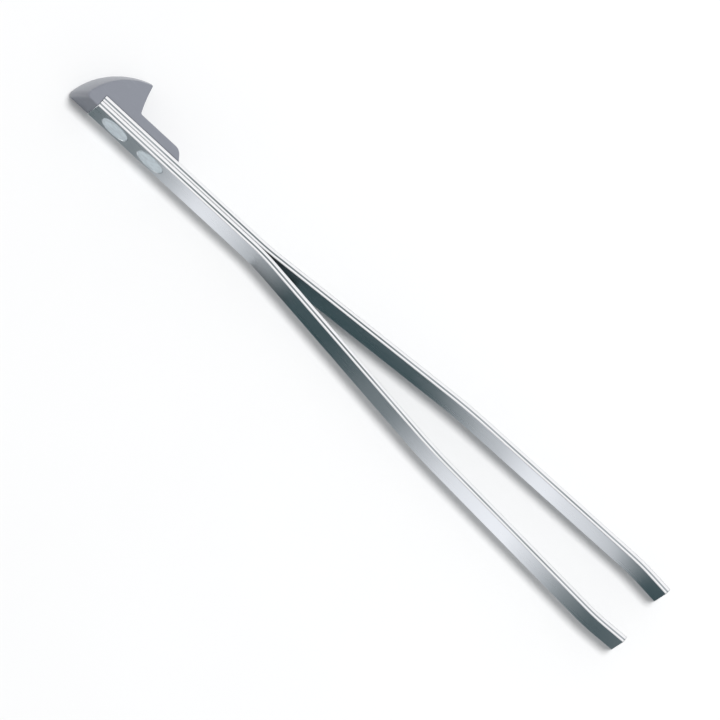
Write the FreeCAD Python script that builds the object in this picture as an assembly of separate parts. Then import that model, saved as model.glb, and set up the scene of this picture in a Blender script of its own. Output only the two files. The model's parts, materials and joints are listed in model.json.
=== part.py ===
"""Slot-in pocket tweezers: two spring-steel strips held in a small plastic head by two countersunk studs.

Everything is drawn with x along the length from the strips' fixed ends, y across the jaws from the plane
where the strips touch, and z up from the flat side that the tweezers lie on. The finished pieces are then
moved so that the origin is the middle of the footprint. Millimetres and degrees.
"""
import FreeCAD, Part
import math
import os
from FreeCAD import Vector

# Driving dimensions: the strips
STRIP_WIDTH = 2.34
STRIP_THICKNESS = 0.41
STRIP_EDGE_RADIUS = 0.07

# Each strip's line from its fixed end: where it bends, how steeply it runs on from there, the bend's radius
SPLIT_X = 12.9
SPREAD_ANGLE = 5.62
SPLIT_RADIUS = 16.0
CRANK_X = 27.7
ARM_ANGLE = 1.94
CRANK_RADIUS = 43.0
TIP_BEND_X = 41.27
TIP_ANGLE = -4.1
TIP_BEND_RADIUS = 16.0
TIP_X = 43.4

# The closed end, with the head, is set over by this much towards the stud side of the jaws' middle line
CLOSED_END_LEAN = 1.15

# Where each strip divides into the root, which stays in the head, and the arm, which swings
HINGE_X = 18.4
KNUCKLE_RADIUS = 0.5
KNUCKLE_CLEARANCE = 0.01

# Driving dimensions: the head, a block that narrows towards the top all round its rounded end
DOME_X = 2.825
DOME_Y = -0.81
DOME_BASE_RADIUS = 4.46
DOME_TOP_RADIUS = 3.76
DOME_BULGE = 0.073
FOOT_THICKNESS = 0.61
FOOT_SHOULDER_X = 5.22
FOOT_SHOULDER_RADIUS = 0.6
FOOT_END_X = 5.68
HOOK_CORNER_X = 2.18
HOOK_TIP_X = 1.67
HOOK_TIP_Y = 2.70
HOOK_HOLLOW = 0.04
HOOK_CORNER_RADIUS = 0.15
SIDE_CORNER_RADIUS = 0.28

# Driving dimensions: the two studs, flush with the stud-side strip and let into the head
STUD_STATIONS = {"front_stud": 4.46, "rear_stud": 1.715}
STUD_HEAD_RADIUS = 0.925
STUD_COUNTERSINK = 0.41
STUD_SHANK_RADIUS = STUD_HEAD_RADIUS - STUD_COUNTERSINK
STUD_DEPTH_IN_HEAD = 0.40

# How far cutting shapes stand past what they cut, and how near two points are taken as one
REACH = 60.0
OVERRUN = 1.0
TOUCH = 1e-4

UP = Vector(0, 0, 1)
ACROSS_JAWS = Vector(0, 1, 0)
SPLIT_ON_MIDDLE = Vector(SPLIT_X, 0, 0)
LEAN = FreeCAD.Placement(Vector(0, 0, 0), FreeCAD.Rotation(UP, CLOSED_END_LEAN), SPLIT_ON_MIDDLE)


def along(start, x, angle):
    """The point at x on the line that leaves start at the angle."""
    return Vector(x, start.y + (x - start.x) * math.tan(math.radians(angle)), 0)


def rounded(points, radii):
    """Edges through the points, with a tangent arc of the given radius at each point between the ends."""
    edges = []
    start = points[0]
    for before, corner, after, radius in zip(points, points[1:], points[2:], radii):
        back = (before - corner).normalize()
        ahead = (after - corner).normalize()
        half_turn = (math.pi - back.getAngle(ahead)) / 2
        reach = radius * math.tan(half_turn)
        to_centre = (back + ahead).normalize()
        middle = corner + to_centre * (radius / math.cos(half_turn) - radius)
        first = corner + back * reach
        last = corner + ahead * reach
        edges.append(Part.LineSegment(start, first).toShape())
        edges.append(Part.Arc(first, middle, last).toShape())
        start = last
    edges.append(Part.LineSegment(start, points[-1]).toShape())
    return edges


def beside(points, distance):
    """The line of points moved sideways, square to itself, by the distance."""
    moved = []
    for i, point in enumerate(points):
        lines = [(b - a).normalize() for a, b in zip(points, points[1:])][max(i - 1, 0):i + 1]
        normals = [Vector(-line.y, line.x, 0) for line in lines]
        middle = (normals[0] + normals[-1]).normalize()
        moved.append(point + middle * (distance / middle.dot(normals[0])))
    return moved


def lengthwise(edge):
    """Whether an edge of a strip runs along it, at the top or the bottom."""
    first, last = edge.Vertexes[0].Point, edge.Vertexes[-1].Point
    return abs(first.z - last.z) < TOUCH and abs(first.x - last.x) > STRIP_THICKNESS


def leaned(shape):
    """A piece of the closed end, drawn straight, turned about the split to where it lies."""
    return shape.transformed(LEAN.toMatrix())


def strip(lean):
    """A hook-side strip, whole: a leaf on edge that bends away from its fellow, then back at the tip."""
    half = STRIP_THICKNESS / 2
    fixed_end = lean.multVec(Vector(0, half, 0))
    split = lean.multVec(Vector(SPLIT_X, half, 0))
    crank = along(split, CRANK_X, SPREAD_ANGLE)
    tip_bend = along(crank, TIP_BEND_X, ARM_ANGLE)
    tip = along(tip_bend, TIP_X, TIP_ANGLE)
    line = [fixed_end, split, crank, tip_bend, tip]
    # The outer face is on the inside of the first bend, and on the outside of the other two
    turns = [(SPLIT_RADIUS, 1), (CRANK_RADIUS, -1), (TIP_BEND_RADIUS, -1)]
    outer = beside(line, half)
    inner = beside(line, -half)
    outer_edges = rounded(outer, [radius - half * turn for radius, turn in turns])
    inner_edges = rounded(inner, [radius + half * turn for radius, turn in turns])
    ends = [Part.LineSegment(outer[i], inner[i]).toShape() for i in (0, -1)]
    outline = Part.Wire(Part.__sortEdges__(outer_edges + inner_edges + ends))
    leaf = Part.Face(outline).extrude(Vector(0, 0, STRIP_WIDTH))
    return leaf.makeFillet(STRIP_EDGE_RADIUS, [edge for edge in leaf.Edges if lengthwise(edge)])


def hinge_point():
    """The point on the hook-side strip's middle line about which its arm swings."""
    split = Vector(SPLIT_X, STRIP_THICKNESS / 2, 0)
    return along(split, HINGE_X, SPREAD_ANGLE)


def knuckle(radius):
    """A round bar along the hinge, standing a little past both edges of the strip."""
    foot = hinge_point() - UP * OVERRUN
    return Part.makeCylinder(radius, STRIP_WIDTH + 2 * OVERRUN, foot, UP)


def beyond_hinge():
    """Everything on the tips' side of the hinge."""
    return Part.makeBox(REACH, REACH, REACH, Vector(HINGE_X, -REACH / 2, -REACH / 2))


def strip_root(leaf):
    """The part of a strip that the head holds, hollowed at its end to take the arm's round nose."""
    return leaf.cut(beyond_hinge()).cut(knuckle(KNUCKLE_RADIUS + KNUCKLE_CLEARANCE))


def strip_arm(leaf):
    """The part of a strip that swings, with a round nose about the hinge."""
    return leaf.common(beyond_hinge().fuse(knuckle(KNUCKLE_RADIUS)))


def mirrored(shape):
    """The same piece for the stud side of the jaws."""
    return shape.mirror(Vector(0, 0, 0), ACROSS_JAWS)


def stud(x):
    """A countersunk stud at x: its cone fills the stud-side strip, its shank runs on through the other."""
    face = -STRIP_THICKNESS
    bottom = STRIP_THICKNESS + STUD_DEPTH_IN_HEAD
    section = Part.makePolygon([
        Vector(0, face, 0),
        Vector(STUD_HEAD_RADIUS, face, 0),
        Vector(STUD_SHANK_RADIUS, face + STUD_COUNTERSINK, 0),
        Vector(STUD_SHANK_RADIUS, bottom, 0),
        Vector(0, bottom, 0),
        Vector(0, face, 0),
    ])
    solid = Part.Face(section).revolve(Vector(0, 0, 0), ACROSS_JAWS, 360)
    return solid.translated(Vector(x, 0, STRIP_WIDTH / 2))


def dome():
    """The head's rounded end as a turned solid: widest at the base, drawn in towards the top."""
    middle_radius = (DOME_BASE_RADIUS + DOME_TOP_RADIUS) / 2 + DOME_BULGE
    base = Vector(DOME_BASE_RADIUS, 0, 0)
    middle = Vector(middle_radius, 0, STRIP_WIDTH / 2)
    top = Vector(DOME_TOP_RADIUS, 0, STRIP_WIDTH)
    axis_top = Vector(0, 0, STRIP_WIDTH)
    section = Part.Wire([
        Part.LineSegment(Vector(0, 0, 0), base).toShape(),
        Part.Arc(base, middle, top).toShape(),
        Part.LineSegment(top, axis_top).toShape(),
        Part.LineSegment(axis_top, Vector(0, 0, 0)).toShape(),
    ])
    solid = Part.Face(section).revolve(Vector(0, 0, 0), UP, 360)
    return solid.translated(Vector(DOME_X, DOME_Y, 0))


def head_moulding():
    """The head: an end block flush with the strips, the finger-nail hook, and a foot along the strips."""
    stack = STRIP_THICKNESS
    foot_top = stack + FOOT_THICKNESS
    corner = Vector(HOOK_CORNER_X, foot_top, 0)
    tip = Vector(HOOK_TIP_X, HOOK_TIP_Y, 0)
    lean = (tip - corner).normalize()
    # The hook's face is slightly hollow, and it carries on past the tip to where the wider base ends
    middle = (corner + tip) / 2 - Vector(lean.y, -lean.x, 0) * HOOK_HOLLOW
    overrun = tip + lean * (DOME_BASE_RADIUS - DOME_TOP_RADIUS + OVERRUN)
    outside_x = DOME_X - 2 * DOME_BASE_RADIUS
    block = [
        overrun,
        Vector(outside_x, overrun.y, 0),
        Vector(outside_x, -stack, 0),
        Vector(0, -stack, 0),
        Vector(0, stack, 0),
        Vector(FOOT_END_X, stack, 0),
    ]
    foot = [block[-1], Vector(FOOT_SHOULDER_X, foot_top, 0), corner]
    outline = Part.Wire([
        *Part.makePolygon(block).Edges,
        *rounded(foot, [FOOT_SHOULDER_RADIUS]),
        Part.Arc(corner, middle, tip).toShape(),
        Part.LineSegment(tip, overrun).toShape(),
    ])
    solid = Part.Face(outline).extrude(Vector(0, 0, STRIP_WIDTH)).common(dome())
    inner_corner = [edge for edge in solid.Edges if upright_at(edge, corner.x, corner.y)]
    solid = solid.makeFillet(HOOK_CORNER_RADIUS, inner_corner)
    side_corner = [edge for edge in solid.Edges if on_side_corner(edge)]
    solid = solid.makeFillet(SIDE_CORNER_RADIUS, side_corner)
    for x in STUD_STATIONS.values():
        solid = solid.cut(stud(x))
    return solid


def upright_at(edge, x, y):
    """Whether an edge of the head stands upright at the place."""
    return all(math.hypot(end.X - x, end.Y - y) < TOUCH for end in edge.Vertexes)


def on_side_corner(edge):
    """Whether an edge is the one where the head's flat side, on the stud side, meets the rounded end."""
    first, last = edge.Vertexes[0], edge.Vertexes[-1]
    on_side = all(abs(end.Y + STRIP_THICKNESS) < TOUCH and end.X < -TOUCH for end in (first, last))
    return on_side and abs(first.Z - last.Z) > STRIP_WIDTH - TOUCH


studs = {name: leaned(stud(x)) for name, x in STUD_STATIONS.items()}
hook_side = strip(LEAN)
stud_side = strip(LEAN.inverse())
nodes = {
    "head_moulding": leaned(head_moulding()),
    "stud_side_root": mirrored(strip_root(stud_side)).cut(list(studs.values())),
    "stud_side_arm": mirrored(strip_arm(stud_side)),
    "hook_side_root": strip_root(hook_side).cut(list(studs.values())),
    "hook_side_arm": strip_arm(hook_side),
    **studs,
}

whole = Part.makeCompound(list(nodes.values())).optimalBoundingBox(False, False)
origin = Vector(whole.Center.x, whole.Center.y, 0)
os.makedirs("parts", exist_ok=True)
for name, shape in nodes.items():
    shape.translated(-origin).exportStep(f"parts/{name}.step")

print("whole", whole)
print("origin", origin)
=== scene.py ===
"""Slot-in pocket tweezers: a grey plastic head, two studs and two leaves of spring steel, lying on edge."""
import bpy
import bmesh
import json
import math
from mathutils import Matrix, Vector


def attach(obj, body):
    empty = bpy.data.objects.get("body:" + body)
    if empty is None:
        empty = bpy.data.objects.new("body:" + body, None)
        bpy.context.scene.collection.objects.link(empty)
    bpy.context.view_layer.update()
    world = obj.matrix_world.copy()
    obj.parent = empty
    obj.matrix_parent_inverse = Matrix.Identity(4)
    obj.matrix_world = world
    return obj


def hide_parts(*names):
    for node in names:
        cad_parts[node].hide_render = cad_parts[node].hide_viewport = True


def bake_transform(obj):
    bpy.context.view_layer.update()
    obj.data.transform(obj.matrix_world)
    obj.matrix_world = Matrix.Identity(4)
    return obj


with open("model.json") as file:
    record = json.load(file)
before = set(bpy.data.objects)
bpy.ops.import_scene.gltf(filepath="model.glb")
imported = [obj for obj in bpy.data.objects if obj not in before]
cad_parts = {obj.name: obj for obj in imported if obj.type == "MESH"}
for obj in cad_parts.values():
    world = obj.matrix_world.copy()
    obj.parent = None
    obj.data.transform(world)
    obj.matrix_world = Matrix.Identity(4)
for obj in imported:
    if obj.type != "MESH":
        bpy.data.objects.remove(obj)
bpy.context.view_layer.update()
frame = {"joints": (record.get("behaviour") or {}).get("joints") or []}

# ---- The studs ----
# Two matte alloy studs, turned, countersunk at the outer end and moulded into the head at the other.
# Their faces finish flush with the outer steel leaf, with a hair of a ring round each.
MM = 0.001
LEAF_WIDTH = 2.34 * MM
LEAF_THICKNESS = 0.41 * MM
SPLIT = 12.9 * MM
LEAN = math.radians(1.15)
HINGE = Vector((18.4, 0.746, 1.17)) * MM

STUD_STATIONS = {"front_stud": 4.46 * MM, "rear_stud": 1.715 * MM}
STUD_HEAD_RADIUS = 0.925 * MM
STUD_SHANK_RADIUS = 0.515 * MM
STUD_DEPTH = 1.22 * MM
STUD_CROWN = 0.012 * MM
STUD_EDGE = 0.035 * MM
STUD_RIM = 0.03 * MM
STUD_STEP = 0.02 * MM
OVERCUT = 0.05 * MM
SHARP_CORNER = math.radians(35)
STUD_COLOUR = (0.68, 0.765, 0.815)

# The closed end is drawn straight, from the leaves' fixed ends, and laid over towards the stud side
hinge_now = next(j for j in frame["joints"] if j["name"] == "hook_side_flex")["pos_m"]
TO_FRAME = Matrix.Translation(Vector(hinge_now) - HINGE)
LEANING = Matrix.Rotation(LEAN, 4, "Z")
ABOUT_SPLIT = Matrix.Translation((SPLIT, 0, 0)) @ LEANING @ Matrix.Translation((-SPLIT, 0, 0))
CLOSED_END = TO_FRAME @ ABOUT_SPLIT


class Wire:
    """A socket in a material. Sums on it add Math nodes, and node() adds any other."""

    def __init__(self, tree, socket=None):
        self.tree = tree
        self.socket = socket

    def node(self, kind, settings, inputs, output=0):
        made = self.tree.nodes.new("ShaderNode" + kind)
        for name, value in settings.items():
            if name == "stops":
                ramp = made.color_ramp
                while len(ramp.elements) < len(value):
                    ramp.elements.new(1.0)
                for element, (place, colour) in zip(ramp.elements, value):
                    element.position = place
                    element.color = (*colour, 1.0)
            else:
                setattr(made, name, value)
        for name, value in inputs.items():
            if isinstance(value, Wire):
                self.tree.links.new(value.socket, made.inputs[name])
            else:
                made.inputs[name].default_value = value
        return Wire(self.tree, made.outputs[output])

    def math(self, operation, first, second=0.0):
        return self.node("Math", {"operation": operation}, {0: first, 1: second})

    def __add__(self, other):
        return self.math("ADD", self, other)

    def __sub__(self, other):
        return self.math("SUBTRACT", self, other)

    def __rsub__(self, other):
        return self.math("SUBTRACT", other, self)

    def __mul__(self, other):
        return self.math("MULTIPLY", self, other)

    def __abs__(self):
        return self.math("ABSOLUTE", self)

    __radd__ = __add__
    __rmul__ = __mul__

    def over(self, low, high):
        """0 where this is below low, 1 above high, and smooth between."""
        inputs = {"Value": self, "From Min": low, "From Max": high}
        return self.node("MapRange", {"interpolation_type": "SMOOTHSTEP"}, inputs)

    def tint(self, first, second):
        """The first colour where this is 0, and the second where it is 1."""
        first, second = [(*c, 1.0) if isinstance(c, tuple) else c for c in (first, second)]
        return self.node("Mix", {"data_type": "RGBA"}, {0: self, 6: first, 7: second}, 2)

    def noise(self, place, stretch, detail=3.0):
        """Noise about this many times a metre along each axis of a place."""
        scaled = self.node("VectorMath", {"operation": "MULTIPLY"}, {0: place, 1: stretch})
        return self.node("TexNoise", {}, {"Vector": scaled, "Scale": 1.0, "Detail": detail})

    def bump(self, height, strength, distance):
        return self.node("Bump", {}, {"Height": height, "Strength": strength, "Distance": distance})


def material(name, finish):
    """A material whose shader's sockets the finish gives, from a first Wire."""
    made = bpy.data.materials.new(name)
    made.use_nodes = True
    shader = made.node_tree.nodes["Principled BSDF"]
    for socket, value in finish(Wire(made.node_tree)).items():
        if isinstance(value, Wire):
            made.node_tree.links.new(value.socket, shader.inputs[socket])
        else:
            shader.inputs[socket].default_value = value
    return made


def piece(name, bm, surface=None):
    """A new object from a bmesh, smooth but for its sharp corners."""
    mesh = bpy.data.meshes.new(name)
    bm.to_mesh(mesh)
    bm.free()
    mesh.shade_smooth()
    mesh.set_sharp_from_angle(angle=SHARP_CORNER)
    made = bpy.data.objects.new(name, mesh)
    bpy.context.scene.collection.objects.link(made)
    if surface:
        mesh.materials.append(surface)
    return made


def stud(station, play=0.0):
    """A stud as a turned solid. With play, it is the larger shape that its hole is cut to."""
    face = -LEAF_THICKNESS
    deep_end = face + STUD_DEPTH
    under_rim = face + STUD_EDGE + STUD_RIM
    part_way = 0.6
    crown_there = STUD_CROWN * (1 - part_way ** 2)
    lift = OVERCUT if play else 0.0
    mouth = 3 * play
    section = [
        (0.0, face - STUD_CROWN - lift),
        (STUD_HEAD_RADIUS * part_way, face - crown_there - lift),
        (STUD_HEAD_RADIUS - STUD_EDGE + mouth + play, face - lift),
        (STUD_HEAD_RADIUS + mouth + play, face + STUD_EDGE - mouth * 0.6),
        (STUD_HEAD_RADIUS - STUD_STEP + play, under_rim),
        (STUD_SHANK_RADIUS + play, face + LEAF_THICKNESS),
        (STUD_SHANK_RADIUS + play, deep_end),
        (0.0, deep_end + play),
    ]
    bm = bmesh.new()
    verts = [bm.verts.new((radius, depth, 0)) for radius, depth in section]
    line = [bm.edges.new(pair) for pair in zip(verts, verts[1:])]
    bmesh.ops.spin(bm, geom=verts + line, cent=(0, 0, 0), axis=(0, 1, 0), angle=math.tau, steps=72,
                   use_merge=True)
    bmesh.ops.remove_doubles(bm, verts=bm.verts, dist=0.0001 * MM)
    bmesh.ops.recalc_face_normals(bm, faces=bm.faces)
    bmesh.ops.translate(bm, verts=bm.verts, vec=(station, 0, LEAF_WIDTH / 2))
    return bm


def matte_alloy(w):
    place = w.node("TexCoord", {}, {}, "Object")
    mottle = w.noise(place, (2600, 2600, 2600), 4.0)
    turning = w.noise(place, (9000, 9000, 9000), 2.0)
    blotch = mottle.over(0.35, 0.65)
    return {
        "Base Color": blotch.tint(tuple(c * 0.86 for c in STUD_COLOUR), STUD_COLOUR),
        "Metallic": 0.0,
        "Roughness": 0.48 + 0.2 * mottle,
        "Normal": w.bump(mottle + 0.5 * turning, 0.25, 0.02 * MM),
    }


stud_surface = material("matte_alloy", matte_alloy)
for name, station in STUD_STATIONS.items():
    made = piece(name + "_turned", stud(station), stud_surface)
    made.data.transform(CLOSED_END)
    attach(made, "head")
    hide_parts(name)

# ---- The head ----
# A small block of grey plastic, moulded round the studs: a finger-nail hook, an end that closes the
# storage slot, narrower towards the rounded side, and a thin foot that lies along the leaves.
DOME_CENTRE = Vector((2.825, -0.81, 0)) * MM
DOME_BASE = 4.46 * MM
DOME_TOP = 3.76 * MM
DOME_BULGE = 0.073 * MM
HOOK_CORNER = Vector((2.18, 1.02, 0)) * MM
HOOK_TIP = Vector((1.67, 2.70, 0)) * MM
HOOK_HOLLOW = 0.04 * MM
HOOK_CORNER_RADIUS = 0.15 * MM
FOOT_SHOULDER = Vector((5.22, 1.02, 0)) * MM
FOOT_SHOULDER_RADIUS = 0.6 * MM
FOOT_END = 5.68 * MM
SIDE_CORNER_RADIUS = 0.28 * MM
HEAD_EDGE = 0.08 * MM
HEAD_PLAY = 0.002 * MM
DOME_STEPS = 44
HOOK_STEPS = 8
HEAD_LEVELS = 9
HEAD_COLOUR = (0.22, 0.232, 0.266)


def rounded(before, corner, after, radius, steps=6):
    """Points on the arc of that radius that rounds a corner."""
    back = (before - corner).normalized()
    ahead = (after - corner).normalized()
    half_turn = (math.pi - back.angle(ahead)) / 2
    middle = (back + ahead).normalized()
    centre = corner + middle * (radius / math.cos(half_turn))
    first = corner + back * (radius * math.tan(half_turn)) - centre
    turn = 2 * half_turn * math.copysign(1, back.cross(ahead).z) * -1
    return [centre + Matrix.Rotation(turn * i / steps, 3, "Z") @ first for i in range(steps + 1)]


def head_outline(height):
    """The head's outline at a height from 0 to 1, round the dome from its corner on the stud side."""
    radius = DOME_BASE + (DOME_TOP - DOME_BASE) * height + 4 * DOME_BULGE * height * (1 - height)
    along = (HOOK_TIP - HOOK_CORNER).normalized()
    offset = HOOK_CORNER - DOME_CENTRE
    reach = -offset.dot(along) + math.sqrt(radius ** 2 - offset.cross(along).length ** 2)
    tip = HOOK_CORNER + along * reach
    hollow = Vector((-along.y, along.x, 0)) * HOOK_HOLLOW
    stud_side = Vector((0, -LEAF_THICKNESS, 0))
    drop = stud_side.y - DOME_CENTRE.y
    first = math.atan2(drop, -math.sqrt(radius ** 2 - drop ** 2))
    last = math.atan2(tip.y - DOME_CENTRE.y, tip.x - DOME_CENTRE.x)
    turns = [first + (last - first) * i / DOME_STEPS for i in range(DOME_STEPS + 1)]
    dome = [DOME_CENTRE + radius * Vector((math.cos(a), math.sin(a), 0)) for a in turns]
    # The rounded corner takes the place of the dome's first few points
    taken = 4
    points = rounded(stud_side, dome[0], dome[taken - 1], SIDE_CORNER_RADIUS) + dome[taken:]
    corner = rounded(tip, HOOK_CORNER, FOOT_SHOULDER, HOOK_CORNER_RADIUS)
    for i in range(1, HOOK_STEPS):
        share = i / HOOK_STEPS
        points.append(tip.lerp(corner[0], share) + 4 * share * (1 - share) * hollow)
    points += corner
    foot_end = Vector((FOOT_END, LEAF_THICKNESS, 0))
    points += rounded(HOOK_CORNER, FOOT_SHOULDER, foot_end, FOOT_SHOULDER_RADIUS)
    points += [foot_end, Vector((0, LEAF_THICKNESS, 0)), stud_side]
    return points


def head():
    bm = bmesh.new()
    loops = []
    top = HEAD_LEVELS - 1
    for level in range(HEAD_LEVELS):
        height = level / top
        verts = [bm.verts.new(p + Vector((0, 0, height * LEAF_WIDTH))) for p in head_outline(height)]
        loops.append([bm.edges.new(pair) for pair in zip(verts, verts[1:] + verts[:1])])
        if level in (0, top):
            bm.faces.new(verts)
    for lower, upper in zip(loops, loops[1:]):
        bmesh.ops.bridge_loops(bm, edges=lower + upper)
    bmesh.ops.recalc_face_normals(bm, faces=bm.faces)
    sharp = [e for e in bm.edges if e.calc_face_angle(0) > SHARP_CORNER]
    bmesh.ops.bevel(bm, geom=sharp, offset=HEAD_EDGE, offset_type="OFFSET", segments=3, profile=0.5,
                    affect="EDGES", clamp_overlap=False, material=-1)
    return bm


def drilled(made, play):
    """Cuts the studs' holes through a piece."""
    for station in STUD_STATIONS.values():
        drill = piece("drill", stud(station, play))
        cut = made.modifiers.new("holes", "BOOLEAN")
        cut.solver = "EXACT"
        cut.object = drill
        result = bpy.data.meshes.new_from_object(made.evaluated_get(bpy.context.evaluated_depsgraph_get()))
        made.modifiers.clear()
        made.data = result
        bpy.data.objects.remove(drill)
    return made


def moulded_plastic(w):
    place = w.node("TexCoord", {}, {}, "Object")
    cloud = w.noise(place, (420, 420, 420), 4.0)
    grain = w.noise(place, (16000, 16000, 16000), 3.0)
    wear = w.noise(place, (1400, 5200, 5200), 5.0).over(0.56, 0.72)
    pale = tuple(c * 1.16 for c in HEAD_COLOUR)
    return {
        "Base Color": (0.55 * cloud + 0.3 * wear).tint(HEAD_COLOUR, pale),
        "Roughness": 0.42 + 0.14 * grain - 0.08 * wear,
        "Specular IOR Level": 0.45,
        "Normal": w.bump(grain + 0.4 * cloud, 0.35, 0.006 * MM),
    }


made = drilled(piece("head_block", head(), material("moulded_plastic", moulded_plastic)), HEAD_PLAY)
made.modifiers.new("faces", "WEIGHTED_NORMAL").keep_sharp = True
made.data.transform(CLOSED_END)
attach(made, "head")
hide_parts("head_moulding")

# ---- The leaves ----
# Two leaves of stainless spring steel, sheared from brushed strip, drilled for the studs and set to shape.
# Each is one piece from the head to its squared tip.
SPREAD = math.radians(5.62)
CRANK = math.radians(3.68)
TIP_BEND = math.radians(6.04)
STRETCHES = [12.9 * MM, 14.872 * MM, 13.578 * MM, 2.136 * MM]
BEND_RADII = [16.0 * MM, 43.0 * MM, 16.0 * MM]
LEAF_EDGE = 0.045 * MM
LEAF_PLAY = 0.012 * MM
LEAF_SLICE = 0.3 * MM
SHEAR_LINE = -0.022 * MM
SHEAR_GROOVE = 0.041 * MM
SHEAR_DEPTH = 0.010 * MM
STEEL_COLOUR = (0.78, 0.81, 0.83)
# Partly painted highlight: the edges really mirror the overhead card, and their paler colour brightens that
# reflection further
EDGE_HIGHLIGHT = (0.93, 0.93, 0.94)
# Painted shade: the sunk line along each edge is darkened in the colour as well, beyond what the groove
# itself shades
DARK_SHADE_LINE = (0.15, 0.18, 0.19)
FAINT_SHADE_LINE = (0.36, 0.39, 0.41)


def flat_leaf(length):
    """The leaf before it is drilled and set, on its own middle line from 0 to its length."""
    bm = bmesh.new()
    bmesh.ops.create_cube(bm, size=1.0)
    bmesh.ops.scale(bm, verts=bm.verts, vec=(length, LEAF_THICKNESS, LEAF_WIDTH))
    bmesh.ops.translate(bm, verts=bm.verts, vec=(length / 2, 0, LEAF_WIDTH / 2))
    bmesh.ops.bevel(bm, geom=list(bm.edges), offset=LEAF_EDGE, offset_type="OFFSET", segments=3,
                    profile=0.5, affect="EDGES", clamp_overlap=False, material=-1)
    return bm


def sliced(bm, places, direction):
    """Cuts every face of a mesh where it crosses each of the places along a direction."""
    for place in places:
        geom = list(bm.verts) + list(bm.edges) + list(bm.faces)
        bmesh.ops.bisect_plane(bm, geom=geom, dist=0.0005 * MM,
                               plane_co=direction * place, plane_no=direction)


def grooved(bm):
    """Sinks the fine line that the shear leaves along each edge of a leaf."""
    sliced(bm, [SHEAR_LINE + side * SHEAR_GROOVE for side in (-1, 0, 1)], Vector((0, 1, 0)))
    for v in bm.verts:
        up = v.co.z - LEAF_WIDTH / 2
        on_edge = abs(up) > LEAF_WIDTH / 2 - 0.002 * MM
        on_line = abs(v.co.y - SHEAR_LINE) < 0.001 * MM
        if on_edge and on_line:
            v.co.z -= math.copysign(SHEAR_DEPTH, up)


def bent(bm, start, radius, turn):
    """Wraps what lies past the start round a bend, towards +Y where the turn is positive."""
    centre = Vector((start, math.copysign(radius, turn), 0))
    for v in bm.verts:
        if v.co.x > start:
            arc = min(v.co.x - start, radius * abs(turn))
            angle = math.copysign(arc / radius, turn)
            back = v.co - Vector((arc, 0, 0)) - centre
            v.co = centre + Matrix.Rotation(angle, 3, "Z") @ back


def leaf(name, side, surface):
    """A whole leaf on the side of the jaws that is +1 for the hook's and -1 for the studs'."""
    turns = [side * SPREAD - LEAN, -side * CRANK, -side * TIP_BEND]
    tangents = [radius * math.tan(abs(turn) / 2) for radius, turn in zip(BEND_RADII, turns)]
    starts = []
    length = 0.0
    for stretch, radius, turn, tangent, last in zip(STRETCHES, BEND_RADII, turns, tangents, [0, *tangents]):
        length += stretch - tangent - last
        starts.append(length)
        length += radius * abs(turn)
    length += STRETCHES[-1] - tangents[-1]
    blank = piece("blank", flat_leaf(length))
    blank.data.transform(Matrix.Translation((0, side * LEAF_THICKNESS / 2, 0)))
    drilled(blank, LEAF_PLAY)
    blank.data.transform(Matrix.Translation((0, -side * LEAF_THICKNESS / 2, 0)))
    bm = bmesh.new()
    bm.from_mesh(blank.data)
    bpy.data.objects.remove(blank)
    slices = int((length - starts[0]) / LEAF_SLICE)
    sliced(bm, [starts[0] + LEAF_SLICE * i for i in range(slices)], Vector((1, 0, 0)))
    grooved(bm)
    flat = bm.verts.layers.float_vector.new("leaf")
    for v in bm.verts:
        v[flat] = v.co
    for start, radius, turn in reversed(list(zip(starts, BEND_RADII, turns))):
        bent(bm, start, radius, turn)
    made = piece(name, bm, surface)
    made.modifiers.new("faces", "WEIGHTED_NORMAL").keep_sharp = True
    made.data.transform(CLOSED_END @ Matrix.Translation((0, side * LEAF_THICKNESS / 2, 0)))
    return made


def brushed_steel(w):
    place = w.node("Attribute", {"attribute_name": "leaf"}, {}, "Vector")
    across = w.node("SeparateXYZ", {}, {0: place}, 1)
    up = w.node("SeparateXYZ", {}, {0: place}, 2)
    # The edge mask gives the edge faces the paler colour, a painted highlight along the top edge
    edge = abs(up - LEAF_WIDTH / 2).over(LEAF_WIDTH / 2 - 0.02 * MM, LEAF_WIDTH / 2 - 0.008 * MM)
    # Painted shade: the line mask darkens the sunk line along each edge, from faint to dark at random along
    # the leaf
    line = edge * (1 - abs(across - SHEAR_LINE).over(SHEAR_GROOVE * 0.75, SHEAR_GROOVE * 1.6))
    shade_line_patches = w.noise(place, (160, 160, 160), 2.0).over(0.35, 0.65)
    grain = w.noise(place, (350, 9000, 32000), 4.0)
    smear = w.noise(place, (260, 900, 900), 3.0)
    scratch = w.noise(place, (700, 20000, 20000), 2.0).over(0.66, 0.74)
    face = (0.55 * grain + 0.45 * smear).tint(tuple(c * 0.9 for c in STEEL_COLOUR), STEEL_COLOUR)
    return {
        "Base Color": line.tint(edge.tint(face, EDGE_HIGHLIGHT), shade_line_patches.tint(FAINT_SHADE_LINE, DARK_SHADE_LINE)),
        "Metallic": 1.0,
        "Roughness": 0.2 + 0.1 * grain + 0.08 * smear + 0.1 * scratch + 0.06 * edge,
        "Normal": w.bump(grain + 0.5 * scratch, 0.12, 0.01 * MM),
    }


steel = material("brushed_steel", brushed_steel)
BEND_FROM = 13.6 * MM
BEND_TO = 24.9 * MM
for side, way in ((1, "hook"), (-1, "stud")):
    made = leaf(way + "_side_leaf", side, steel)
    at = [TO_FRAME @ Vector((x, side * (x - SPLIT) * math.tan(SPREAD), 0)) for x in (BEND_FROM, BEND_TO)]
    tuple(at[0])
    tuple(at[1])
    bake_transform(made)
    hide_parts(way + "_side_root", way + "_side_arm")

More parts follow.
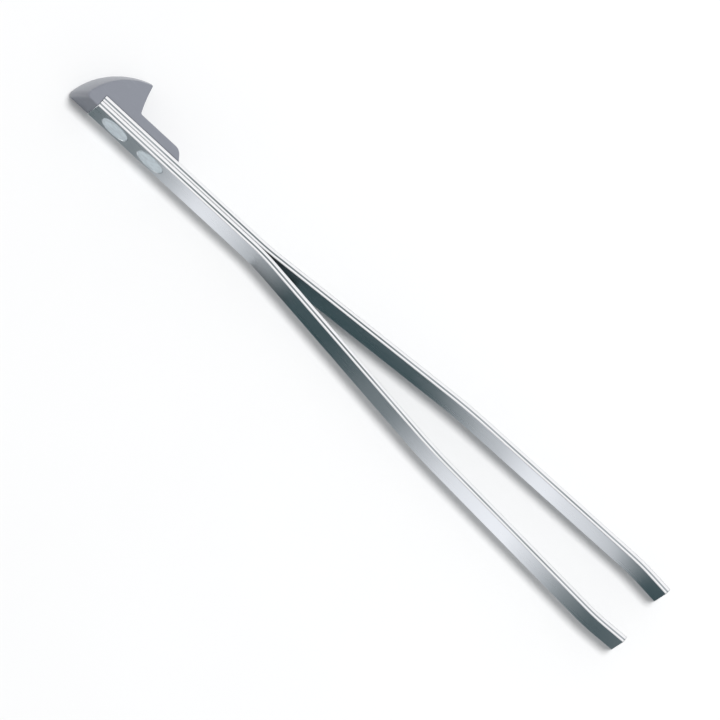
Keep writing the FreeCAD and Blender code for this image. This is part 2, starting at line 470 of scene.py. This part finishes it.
# ---- The table ----
# A plain white sheet. Glossy rays pass it, so the steel, which stands on it, mirrors the graduated cards
# that lie below, as it would on glass.
TABLE_REACH = 1.5
floor_bm = bmesh.new()
bmesh.ops.create_grid(floor_bm, x_segments=1, y_segments=1, size=TABLE_REACH)


def white_sheet(w):
    fibre = w.noise(w.node("TexCoord", {}, {}, "Object"), (90, 90, 90))
    return {"Base Color": fibre.tint((0.86, 0.86, 0.86), (0.88, 0.88, 0.88)), "Roughness": 0.9,
            "Specular IOR Level": 0.0}


floor = piece("table_top", floor_bm, material("white_sheet", white_sheet))
floor.visible_glossy = False

# ---- The light ----
# A soft key over the hook side, leaning a little towards the tips, a dim studio, and level cards, pale
# and dark, that only glossy rays meet: most just below the table, and one overhead.
SKY_LOW = (0.80, 0.81, 0.82)
SKY_HIGH = (0.44, 0.445, 0.45)
BELOW = (0.04, 0.06, 0.066)
world = bpy.data.worlds.new("studio")
bpy.context.scene.world = world
world.use_nodes = True
studio = Wire(world.node_tree)
heading = studio.node("TexCoord", {}, {}, "Generated")
way_up = studio.node("SeparateXYZ", {}, {0: heading}, 2)
sky = way_up.over(0.0, 0.5).tint(SKY_LOW, SKY_HIGH)
glow = way_up.over(-0.5, -0.05).tint(BELOW, sky)
world.node_tree.links.new(glow.socket, world.node_tree.nodes["Background"].inputs["Color"])

KEY_TILT = math.radians(11.5)
KEY_TURN = math.radians(8)
KEY_DISTANCE = 0.5
KEY_SIZE = 0.135
KEY_ENERGY = 1.79
key_data = bpy.data.lights.new("softbox", "AREA")
key_data.shape = "DISK"
key_data.size = KEY_SIZE
key_data.energy = KEY_ENERGY
key = bpy.data.objects.new("softbox", key_data)
key_turn = Matrix.Rotation(-KEY_TILT, 4, "X") @ Matrix.Rotation(KEY_TURN, 4, "Y")
key.matrix_world = key_turn @ Matrix.Translation((0, 0, KEY_DISTANCE))
key.visible_glossy = False
bpy.context.scene.collection.objects.link(key)


def card(name, low, high, height, colour):
    """A level card between two corners, pale or dark, that only glossy rays meet."""
    bm = bmesh.new()
    bmesh.ops.create_grid(bm, x_segments=1, y_segments=1, size=0.5)
    bmesh.ops.scale(bm, verts=bm.verts, vec=(high[0] - low[0], high[1] - low[1], 1))
    bmesh.ops.translate(bm, verts=bm.verts, vec=((low[0] + high[0]) / 2, (low[1] + high[1]) / 2, height))
    surface = material(name, lambda w: {"Base Color": (0, 0, 0, 1), "Specular IOR Level": 0.0,
                                        "Emission Color": colour(w), "Emission Strength": 1.0})
    surface.cycles.emission_sampling = "NONE"
    made = piece(name, bm, surface)
    made.visible_camera = False
    made.visible_diffuse = False
    made.visible_shadow = False


def graduated(tones):
    """Pale bands across the leaves, from tones at distances in millimetres from their fixed ends."""
    stops = [(x * MM / CARD_LENGTH, (tone, tone, tone)) for x, tone in tones]

    def colour(w):
        place = w.node("TexCoord", {}, {}, "Object")
        along = w.node("SeparateXYZ", {}, {0: place}) - TO_FRAME.translation.x
        tone = w.node("ValToRGB", {"stops": stops}, {"Fac": along * (1 / CARD_LENGTH)})
        tone.socket.node.color_ramp.interpolation = "CARDINAL"
        return tone.tint(CARD_DARK, CARD_PALE)

    return colour


def drawn(x, y):
    """A place drawn in millimetres, as it lies on the table."""
    place = TO_FRAME @ Vector((x * MM, y * MM, 0))
    return place.x, place.y


def even(colour):
    return lambda w: (*colour, 1)


CARD_LENGTH = 50 * MM
CARD_DEPTH = -3 * MM
LAYER = 0.1 * MM
CARD_DARK = (0.055, 0.09, 0.10)
CARD_PALE = (1.10, 1.10, 1.14)
HEAD_GLOW = (1.7, 1.7, 1.7)
GAP_SHADE = (0.0, 0.0, 0.0)
OVERHEAD_GLOW = (1.04, 1.04, 1.05)
OVERHEAD = 0.4
BETWEEN_JAWS = -1.65
PAST_RIM = 1.5

# Each tone is at a distance along the jaws, as the strip on that side mirrors it
STUD_SIDE_TONES = [(0.3, 0.1), (2.2, 0.2), (4, 0.22), (7, 0.62), (9.2, 0.87), (12.7, 0.48),
                   (15.2, 0.05), (18.5, 0.0), (22, 0.1), (25.4, 0.25), (29, 0.73), (33, 0.98),
                   (35, 0.93), (38.2, 0.4), (41, 0.07), (46, 0.1)]
HOOK_SIDE_TONES = [(14, 0.0), (24.6, 0.0), (27, 0.1), (29.2, 0.36), (31.6, 0.62), (33.8, 0.93),
                   (36, 0.84), (40.1, 0.56), (42.2, 0.03), (46, 0.0)]
near_corner = drawn(-60, -60)
far_corner = drawn(80, 60)
second_layer = CARD_DEPTH + LAYER
third_layer = CARD_DEPTH + 2 * LAYER
card("stud_side_card", near_corner, far_corner, CARD_DEPTH, graduated(STUD_SIDE_TONES))
card("hook_side_card", drawn(14, BETWEEN_JAWS), far_corner, second_layer, graduated(HOOK_SIDE_TONES))
card("rim_card", drawn(-60, PAST_RIM), drawn(4, 60), third_layer, even(HEAD_GLOW))
card("corner_card", near_corner, drawn(-1.8, PAST_RIM), third_layer, even(HEAD_GLOW))
# Painted shade: a black card under the fork between the leaves, so the steel there mirrors darkness in
# place of the shaded table
card("fork_shade_card", drawn(12.9, BETWEEN_JAWS), drawn(16, 0.5), third_layer, even(GAP_SHADE))
card("overhead_card", (-0.4, -0.1), (0.4, 0.6), OVERHEAD, even(OVERHEAD_GLOW))

# ---- The camera ----
# A long lens, high over the stud side, and rolled so that the tweezers lie from one corner of the view
# to the other.
AZIMUTH = math.radians(-10.6)
ELEVATION = math.radians(70.6)
ROLL = math.radians(53.775)
SHORT_SIDE = 41.6 * MM
STAND_OFF = 1.0
HALF_WAY = 20.946 * MM
SHIFT_ACROSS = -0.40 * MM
SHIFT_UPWARD = -0.70 * MM
facing = Matrix.Rotation(AZIMUTH, 3, "Z") @ Matrix.Rotation(math.pi / 2 - ELEVATION, 3, "X")
facing = facing @ Matrix.Rotation(ROLL, 3, "Z")
across, upward, back = facing.transposed()
middle = TO_FRAME @ Vector((HALF_WAY, 0, LEAF_WIDTH))
aim = middle + across * SHIFT_ACROSS + upward * SHIFT_UPWARD
lens = bpy.data.cameras.new("camera")
lens.sensor_width = 36.0
lens.lens = lens.sensor_width * STAND_OFF / SHORT_SIDE
lens.clip_start = 0.01
lens.clip_end = 10.0
camera = bpy.data.objects.new("camera", lens)
camera.matrix_world = Matrix.Translation(aim + back * STAND_OFF) @ facing.to_4x4()
bpy.context.scene.collection.objects.link(camera)
bpy.context.scene.camera = camera
bpy.context.scene.view_settings.view_transform = "Standard"
